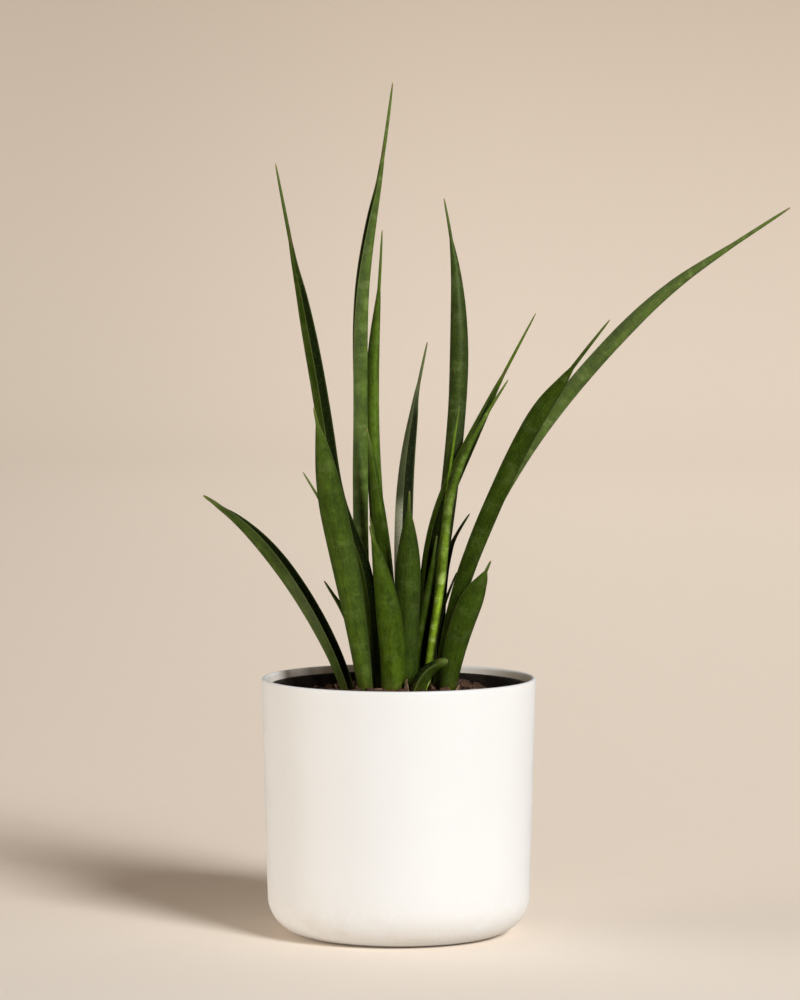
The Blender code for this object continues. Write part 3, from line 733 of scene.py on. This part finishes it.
# How many, their length, their breadth and thickness as shares of it, the share of the thickness that
# their middle lies above the bed, and the room left round a leaf.
CHIPS = (430, (2.2, 6.2), (0.4, 0.8), (0.25, 0.5), 0.8, 1.5)
CRUMBLES = (900, (0.5, 1.5), (0.5, 1.0), (0.4, 0.8), 0.5, 0.0)
EDGE_ROOM = 0.4
FOOT_SAMPLES = 60


def leaf_foot(leaf):
    """Places along a leaf's lower half, which of them lies at the bark, and half the breadth there."""
    t = np.linspace(0, 0.5, FOOT_SAMPLES)
    place, _ = spline(leaf.path, t)
    at = int(np.argmin(np.abs(place[:, 2] - bark_height(place[:, 0], place[:, 1]))))
    return place, at, breadth(leaf, t[at:at + 1])[0]


def clear_of_leaves(x, y, margin):
    """True where a chip stands no nearer to a leaf's middle than the leaf's half breadth and a margin."""
    free = np.ones(len(x), bool)
    for leaf in LEAVES:
        place, at, room = leaf_foot(leaf)
        free &= np.hypot(x - place[at, 0], y - place[at, 1]) > room + margin
    return free


def bark_pieces(name, rng, count, length, breadth_share, thickness_share, raised, margin):
    """Lay pieces on the bed where no leaf stands, each a share of its thickness above it."""
    x, y = scatter(rng, count, CHIP_SPREAD, CHIP_JITTER)
    long = rng.uniform(*length, count)
    broad = long * rng.uniform(*breadth_share, count)
    thick = long * rng.uniform(*thickness_share, count)
    free = clear_of_leaves(x, y, margin) & (np.hypot(x, y) + EDGE_ROOM * long < CHIP_SPREAD)
    centres = together(x, y, bark_height(x, y) + raised * thick)
    piece = chunks(name, rng, centres[free], together(long, broad, thick)[free], CHIP_TILT)
    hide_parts("soil")
    print(name + ":", int(free.sum()), "pieces,", len(piece.data.polygons), "faces")
    return piece


chip_rng = np.random.default_rng(CHIP_SEED)
bark_chips = bark_pieces("bark_chips", chip_rng, *CHIPS)
bark_crumbs = bark_pieces("bark_crumbs", chip_rng, *CRUMBLES)

# %% [markdown]
# Fresh bark is reddish brown, a moist chip nearly black, and a dry or broken one pale and pinkish. Each
# piece carries one random number, its tone, which a node group turns into one of these colours. A stretched
# noise gives the fibres of the wood, and a finer one the pores. On the fine mix of the bed a noise takes
# the place of the tone.

# %% Bark group
def bark_group():
    """Dark to pale brown by Tone, with fibres and pores: puts out a colour, a roughness and a height."""
    tree, g, given, result = new_group("Bark", {"Vector": "Vector", "Tone": "Float"},
                                       {"Color": "Color", "Roughness": "Float", "Height": "Float"})
    place, tone = given["Vector"], given["Tone"]
    patch = g.noise(place, 160.0, 3.0, 0.65)
    fibre = g.noise(place, (300, 1500, 1500), 3.0, 0.6)
    pores = g.noise(place, 1900.0, 2.0, 0.7)
    brown = g.coats(
        g.mix(g.ramp(tone, 0.25, 0.75), (0.02, 0.01, 0.005), (0.128, 0.06, 0.034)),
        (g.ramp(tone, 0.86, 0.95), (0.36, 0.23, 0.17)),
        (g.ramp(patch, 0.42, 0.62, 0, 0.45), (0.052, 0.028, 0.016)),
        (g.ramp(fibre, 0.47, 0.62, 0, 0.65), (0.23, 0.12, 0.072)),
        (g.ramp(pores, 0.5, 0.6, 0, 0.85), (0.012, 0.006, 0.004)))
    join(g, result, Color=brown, Roughness=g.ramp(patch, 0.35, 0.65, 0.72, 0.95),
         Height=g.plus(fibre, g.times(pores, 0.6)))
    return tree


BARK = bark_group()


def bark_finish(name, tone):
    """The bark group on a rough surface. tone makes the tone from the graph."""
    g, shader, made = new_material(name, 0.85, 0.3)
    bark = g.use(BARK, Vector=g.place(), Tone=tone(g))
    join(g, shader, Base_Color=bark["Color"], Roughness=bark["Roughness"],
         Normal=g.bump(bark["Height"], 0.0006, 0.9))
    return made


loose_bark = bark_finish("loose bark", lambda g: g.attribute("tone"))
fine_bark = bark_finish("fine bark mix", lambda g: g.noise(g.place(), 330.0, 3.0, 0.7))
for piece, bark in ((bark_chips, loose_bark), (bark_crumbs, loose_bark), (bark_bed, fine_bark)):
    finish_with(piece, bark)

# %% [markdown]
# ## The rhizome
#
# Under the bark a thick rhizome joins the shoots. Its solid has the right shape, so it stays, and only its
# finish changes: an orange-brown skin with paler scars in rings, and some dirt in patches.

# %% Streaked finish
def streaked(name, roughness, specular, streaks, colours, dirt, depth):
    """A skin from one colour to the other by stretched noise, with patches of dirt in the third.

    streaks is the noise's scale, detail and two limits, and dirt its scale and its share.
    """
    g, shader, made = new_material(name, sum(roughness) / 2, specular)
    place = g.place()
    scale, detail, low, high = streaks
    streak = g.noise(place, scale, detail)
    mask = g.use(GRIME, Vector=place, Scale=dirt[0], Cover=0.5)["Mask"]
    skin = g.mix(g.ramp(streak, low, high), *colours[:2])
    skin = g.mix(g.times(mask, dirt[1]), skin, colours[2])
    join(g, shader, Base_Color=skin, Roughness=g.ramp(streak, 0.3, 0.7, *roughness),
         Normal=g.bump(streak, depth, 0.7))
    return made


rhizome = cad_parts["rhizome"]
rhizome.data.materials.clear()
rhizome.data.materials.append(streaked(
    "rhizome skin", (0.45, 0.7), 0.4, ((60, 60, 420), 2.0, 0.4, 0.62),
    ((0.3, 0.13, 0.045), (0.5, 0.29, 0.11), (0.05, 0.025, 0.014)), (90.0, 0.8), 0.0005))

# %% [markdown]
# ## The leaves
#
# A leaf of this plant is nearly round at its tip and a deep gutter lower down. Its section is an ellipse
# bent along its long axis: the back is round, and two edges stand up beside a channel. Close to the tip it
# becomes a circle, which narrows to a hard point, the awl.
#
# The section is carried along the leaf's curve with a ring about every two millimetres. Its columns crowd
# towards the two edges, which keeps them crisp. Noise along the length lets the breadth and the edges waver
# a little above the bark, and the back carries faint furrows.

# %% Leaf surface
LEAF_COLUMNS = 48
COLUMN_CROWDING = 0.35
RING_STEP = 2.0
TIP_CROWDING = 1.25
CHANNEL_CURVE = 1.6
CHANNEL_END, CHANNEL_END_BEFORE = 0.12, 0.1
UNEVEN_FROM, UNEVEN_FADE, EVEN_TIP = 160.0, 40.0, 0.05
WAVER, WAVER_SPAN = 0.03, 34.0
SWAY, SWAY_SPAN, SWAY_SEED = 0.35, 55.0, 50
FURROWS, FURROW_DEPTH = 9, 0.022
EDGE_LINE = 0.55
SCAR_AFTER, SCAR_LENGTH = 0.005, 0.012
GROWN_APART = 61.0


def leaf_surface(leaf, number):
    """Rings of points along a leaf, and three vectors for each point that the skin reads.

    A point stands off the curve by the breadth times a cosine sideways, and towards the channel by the
    edges' rise times that cosine to a power, less the back's or the channel's depth times the sine. The
    vectors: the leaf's own coordinates; share of length, edges, inside; scar, margins, one flank.
    """
    rough_length = sum(math.dist(a, b) for a, b in zip(leaf.path, leaf.path[1:]))
    count = int(rough_length / RING_STEP)
    t = 1 - (1 - np.arange(count) / count) ** TIP_CROWDING
    place, along = spline(leaf.path, t)
    azimuth = np.radians(leaf.facing[0] + (leaf.facing[1] - leaf.facing[0]) * t)
    level = together(np.cos(azimuth), np.sin(azimuth), 0.0)
    facing = level - along * np.sum(level * along, axis=1)[:, None]
    facing /= np.linalg.norm(facing, axis=1)[:, None]
    side = np.cross(along, facing)

    t, height = t[:, None], place[:, 2, None]
    length = t * rough_length
    above = ease((height - UNEVEN_FROM) / UNEVEN_FADE) * (1 - ease((t - leaf.shoulder + EVEN_TIP) / EVEN_TIP))
    width = breadth(leaf, t) * (1 + WAVER * above * wander(length, WAVER_SPAN, number))
    sway = SWAY * above * wander(length, SWAY_SPAN, number + SWAY_SEED)
    roundness = ease((t - leaf.shoulder + CHANNEL_END_BEFORE) / CHANNEL_END)
    even = full_turn(LEAF_COLUMNS)
    angle = even - COLUMN_CROWDING * np.sin(2 * even)
    cosine, sine = np.cos(angle), np.sin(angle)
    back = width * (leaf.back + (1 - leaf.back) * roundness)
    front = width * (roundness - leaf.channel * leaf.back * (1 - roundness))
    furrow = 1 - FURROW_DEPTH * above * np.cos(2 * FURROWS * angle) * np.maximum(sine, 0)
    depth = np.where(sine > 0, back * furrow, front) * sine
    lift = width * leaf.rise * (1 - roundness) * np.abs(cosine) ** CHANNEL_CURVE - depth
    across = width * cosine
    rings = place[:, None] + (across + sway)[..., None] * side[:, None] + lift[..., None] * facing[:, None]

    to_edges = (np.linalg.norm(rings - rings[:, [n]], axis=2) for n in (0, LEAF_COLUMNS // 2))
    # A thin line along both edges: a pale dry margin, partly a painted highlight on the rims
    edge = np.exp(-(np.minimum(*to_edges) / EDGE_LINE) ** 2) * (1 - roundness)
    # inner marks the inside of the channel, which the skin paints nearly black as shade
    inner = ease(-sine * 3) * (1 - roundness)
    scar = np.exp(-((t - leaf.shoulder - SCAR_AFTER) / SCAR_LENGTH) ** 2) * ease(-sine * 1.5)
    # margin is painted shade: it darkens the leaf towards both sides
    margin = np.abs(cosine) ** 3 * (1 - roundness)
    grown = together(across, lift, length) + GROWN_APART * number
    return rings, grown, together(t, edge, inner), together(scar, margin, ease(-cosine * 1.5))


def make_leaf(leaf, number):
    """One closed blade with its attributes: where it grew, the way along it, its marks and its look."""
    rings, grown, way, marks = leaf_surface(leaf, number)
    piece = closed_grid("blade_" + leaf.name, rings, leaf.path[0], leaf.path[-1], sharp=60.0)
    for name, values, ends in (("grown", grown, (grown[0].mean(0), grown[-1].mean(0))),
                               ("way", way, ((0, 0, 0), (1, 0, 0))),
                               ("marks", marks, np.zeros((2, 3)))):
        add_attribute(piece, name, np.concatenate([values.reshape(-1, 3), ends]))
    for name, value in zip(("light", "yellow", "bands", "wax"), leaf.look):
        add_attribute(piece, name, np.full(len(piece.data.vertices), value))
    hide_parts("leaf_" + leaf.name)
    return piece


blades = [make_leaf(leaf, number) for number, leaf in enumerate(LEAVES)]
print("blades:", len(blades), "faces:", sum(len(blade.data.polygons) for blade in blades))

# %% [markdown]
# ## Dry sheaths
#
# Small scale leaves wrapped each shoot when it broke through the bark. They have dried to thin papery
# collars round the feet of some leaves. Each is a piece of a cone, as thick as card, that narrows to a torn
# point.

# %% Sheaths
SHEATH_THICKNESS, SHEATH_GAP, SHEATH_SUNK, SHEATH_FLARE = 0.45, 0.3, 3.0, 1.6
SHEATH_STEPS, SHEATH_COLUMNS = 16, 14
SHEATH_POWER = 0.6
TORN, TORN_SPAN, TORN_POINT = 0.1, 2.5, 0.4
SHEATHS = (("front_stout", -22, 10, 24), ("front_curled", 205, 11, 26), ("left_broad", -150, 7, 30),
           ("right_short", -35, 7, 28), ("left_arching", 175, 6, 35), ("rear_tallest", 70, 9, 45),
           ("right_arching", 35, 8, 45), ("centre_tall", 60, 9, 45), ("left_tall", 140, 8, 45))


def make_sheath(name, azimuth, height, spread):
    """A curved scale round a leaf's foot. Its spread in degrees falls as a power of the way up."""
    leaf = next(leaf for leaf in LEAVES if leaf.name == name)
    place, foot, half_breadth = leaf_foot(leaf)
    up = np.linspace(0, 1, SHEATH_STEPS + 1)[:-1, None]
    z = place[foot, 2] - SHEATH_SUNK + (height + SHEATH_SUNK) * up
    x, y = (np.interp(z, place[:, 2], place[:, n]) for n in range(2))
    half = np.radians(spread) * (1 - up) ** SHEATH_POWER * (1 + TORN * wander(z, TORN_SPAN, azimuth))
    across = np.linspace(-1, 1, SHEATH_COLUMNS)
    angle = np.radians(azimuth) + half * np.concatenate([across, across[::-1]])
    outside = np.repeat((0, 1), SHEATH_COLUMNS)
    radius = half_breadth + SHEATH_GAP + SHEATH_FLARE * up ** 2 + outside * SHEATH_THICKNESS * (1 - 0.5 * up)
    rings = together(x + radius * np.cos(angle), y + radius * np.sin(angle), z)
    tip = rings[-1].mean(0) + (0, 0, TORN_POINT)
    piece = closed_grid("sheath_" + name, rings, rings[0].mean(0), tip, sharp=50.0)
    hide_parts("leaf_" + name)
    return piece


sheaths = [make_sheath(*row) for row in SHEATHS]
print("sheaths:", len(sheaths), "faces:", sum(len(sheath.data.polygons) for sheath in sheaths))


# %% [markdown]
# They are papery tan, with dark veins along them and dirt from the bark.

# %% Dry sheath finish
papery = streaked("dry sheath", (0.65, 0.85), 0.25, ((900, 900, 60), 3.0, 0.38, 0.62),
                  ((0.14, 0.08, 0.045), (0.42, 0.3, 0.19), (0.1, 0.05, 0.03)), (150.0, 0.6), 0.0003)
for sheath in sheaths:
    finish_with(sheath, papery)

# %% [markdown]
# ## Leaf skin
#
# The skin is a satin green with a soft mottle and bands across the leaf, streaks along it, and fine pores.
# The noises read the leaf's own coordinates, so they follow every bend. Low down the green turns yellow,
# then rusty at the bark, and wax lies as silver on one flank. Painted shade darkens the margins and makes the
# channel nearly black inside, and the edges carry a thin pale dry line that is partly a painted highlight on
# the rims. Past a brown scar the awl fades to a straw-coloured point.

# %% Leaf skin
def leaf_skin():
    """Deep to fresh green by look, under coats that run from the soft bands to the dry awl."""
    g, shader, made = new_material("snake plant skin", 0.42, 0.12)
    shader["Specular Tint"].default_value = (0.85, 1.0, 0.55, 1)
    light, yellow, bands, wax = (g.attribute(name) for name in ("light", "yellow", "bands", "wax"))
    grown, way, marks = (g.attribute(name, "Vector") for name in ("grown", "way", "marks"))
    share, edge, inner = g.split(way)
    scar, margin, flank = g.split(marks)
    height = g.split(g.place())[2]
    cloud = g.noise(grown, (0.15, 0.15, 0.07), 5.0, 0.74)
    band = g.noise(grown, (0.055, 0.055, 0.13), 4.0, 0.62)
    streak = g.noise(grown, (1.1, 1.1, 0.014), 2.0)
    grain = g.noise(grown, (1.7, 1.7, 1.1), 2.0)

    low = g.ramp(share, 0.72, 0.05, 0.03, 1.0)
    # With the banded leaf's very large yellow and bands above 2, warm and strong paint light on its lower
    # part
    warm = g.times(yellow, low, g.ramp(cloud, 0.35, 0.65, 0.4, 1.0))
    strong = g.times(g.math("MAXIMUM", g.plus(bands, -2.0), 0.0), low, low)
    pale = g.times(g.ramp(band, 0.5, 0.66), g.plus(g.math("MINIMUM", bands, 2.0), strong))
    dusk = g.times(g.ramp(band, 0.46, 0.34), g.math("MINIMUM", bands, 1.0))
    silver = g.times(wax, flank, g.ramp(share, 0.6, 0.54), g.ramp(share, 0.26, 0.4),
                     g.ramp(grain, 0.35, 0.55, 0.7, 1.0))
    waxy = g.times(wax, g.plus(silver, 0.12))
    rust = g.times(g.ramp(height, 0.172, 0.15), g.ramp(grain, 0.45, 0.6))

    green = g.mix(light, (0.002, 0.005, 0.0005), (0.061, 0.108, 0.006), clamp=False)
    green = g.coats(
        g.mix(1.0, green, g.ramp(cloud, 0.3, 0.7, 0.62, 1.32), "MULTIPLY"),
        (g.times(warm, 0.5), (0.057, 0.088, 0.004), "ADD", False),
        (g.times(pale, 0.6), (0.07, 0.082, 0.034), "ADD", False),
        (g.times(dusk, 0.45), (0.01, 0.024, 0.002)),
        (g.ramp(streak, 0.55, 0.7, 0, 0.25), (0.01, 0.022, 0.002)),
        (g.ramp(streak, 0.44, 0.32, 0, 0.1), (0.15, 0.19, 0.04)),
        # Painted shade towards the margins
        (g.times(margin, 0.62), (0.01, 0.02, 0.002)),
        (g.times(waxy, 0.9), (0.56, 0.57, 0.43)),
        # Painted shade: the inside of the channel is nearly black
        (g.times(inner, 0.92), (0.002, 0.004, 0.0005)),
        (g.ramp(grain, 0.56, 0.72, 0, 0.26), (0.17, 0.22, 0.04)),
        (g.ramp(grain, 0.45, 0.3, 0, 0.5), (0.006, 0.015, 0.001)),
        (g.times(rust, 0.6), (0.16, 0.06, 0.02)),
        # Pale dry edge line, partly a painted highlight on the rims
        (g.times(edge, 0.42), (0.15, 0.18, 0.055)),
        (g.ramp(share, 0.88, 0.99, 0, 0.6), (0.115, 0.155, 0.035)),
        (g.times(scar, 0.75), (0.09, 0.05, 0.025)),
        (g.ramp(share, 0.985, 0.998), (0.2, 0.165, 0.06)))
    dull = g.plus(g.ramp(band, 0.35, 0.65, 0.34, 0.44), g.times(waxy, 0.12), g.times(inner, 0.55))
    relief = g.plus(g.times(streak, 0.5), g.times(band, 0.6), g.times(grain, 0.25))
    join(g, shader, Base_Color=green, Roughness=dull, Normal=g.bump(relief, 0.0004, 0.6))
    return made


skin = leaf_skin()
for blade in blades:
    finish_with(blade, skin)

# %% [markdown]
# ## Floor and light
#
# The plant stands on a large beige floor that curves up into a low wall, so that every view has a plain
# ground. It is painted paler in front as light, and painted darker as shade from three and a half metres out
# and towards the left. It lets light through, because the lamps shine from beyond it. The key is a soft sun
# from the front right, thirty degrees up. A wide, low, warm one from the left lifts the shaded side of the
# pot, and a lower one, behind at the right, edges the leaves and the pot with light.

# %% The floor
FLOOR_RADIUS, SWEEP_RADIUS, WALL_HEIGHT = 5500.0, 6000.0, 8000.0
FLOOR_RINGS, SWEEP_STEPS, SWEEP_COLUMNS = (60.0, 200.0, 700.0, 2000.0, 4000.0), 24, 96
FLOOR_DROP = 0.5
DARKER_FROM = 3500.0


def sweep():
    """A floor disc, a quarter circle up, and a wall: a profile turned round the middle, open at the top."""
    bend = arc(FLOOR_RADIUS, SWEEP_RADIUS, SWEEP_RADIUS, -90, 0, SWEEP_STEPS)
    profile = np.concatenate([[(r, 0.0) for r in FLOOR_RINGS], bend, [(bend[-1, 0], WALL_HEIGHT)]])
    rings = revolved(profile - (0, FLOOR_DROP), SWEEP_COLUMNS)
    points = np.concatenate([rings.reshape(-1, 3), [(0, 0, -FLOOR_DROP)]])
    quads, (fan, _) = grid_quads(len(profile), SWEEP_COLUMNS), fans(len(profile), SWEEP_COLUMNS)
    mesh = bpy.data.meshes.new("floor")
    mesh.from_pydata((points * MM).tolist(), [], quads[:, ::-1].tolist() + fan[:, ::-1].tolist())
    mesh.shade_smooth()
    return add_object("floor", mesh)


def beige_paint():
    """Matt warm beige with a very faint grain, with painted light in front, and painted shade far out and to
    the left.
    """
    g, shader, made = new_material("beige floor", 0.9, 0.1)
    place = g.place()
    x, y, _ = g.split(place)
    away = g.math("MAXIMUM", g.plus(g.from_axis(x, y), -DARKER_FROM * MM), 0.0)
    # Painted shade that grows with the square of the distance past DARKER_FROM
    far_shade = g.times(away, away, 0.03)
    beige = g.coats(
        g.mix(g.noise(place, 40.0, 3.0), (0.925, 0.805, 0.68), (0.945, 0.825, 0.7)),
        # Painted light: paler towards the front
        (g.ramp(y, 0.3, -0.4, 0, 0.8), (0.975, 0.89, 0.795)),
        # Painted shade far out, up the sweep
        (g.math("MINIMUM", far_shade, 0.9), (0.47, 0.385, 0.3)),
        # Painted shade towards the left
        (g.ramp(x, 0.3, -1.0, 0, 0.35), (0.35, 0.29, 0.23)))
    join(g, shader, Base_Color=beige)
    return made


floor = sweep()
floor.data.materials.append(beige_paint())
floor.visible_shadow = False
floor.visible_glossy = False


# %% The lights
def soft_sun(name, azimuth, elevation, strength, spread, colour):
    """A sun lamp that shines from an azimuth and an elevation. Its spread in degrees softens the shadows."""
    data = bpy.data.lights.new(name, "SUN")
    data.energy = strength
    data.angle = math.radians(spread)
    data.color = colour
    lamp = add_object(name, data)
    lamp.rotation_euler = (math.pi / 2 - math.radians(elevation), 0, math.radians(azimuth + 90))
    return lamp


soft_sun("key", -54, 30, 3.3, 19, (0.97, 1.0, 1.03))
fill = soft_sun("fill", 190, 6, 2.15, 60, (1.0, 0.94, 0.87))
back = soft_sun("back", 45, 3, 0.85, 30, (1.0, 0.97, 0.93))
for lamp in (fill, back):
    lamp.visible_glossy = False

world = bpy.data.worlds.new("studio")
world.use_nodes = True
background = world.node_tree.nodes["Background"].inputs
background["Color"].default_value = (1.0, 0.93, 0.85, 1)
background["Strength"].default_value = 0.05
bpy.context.scene.world = world
bpy.context.scene.view_settings.view_transform = "Standard"
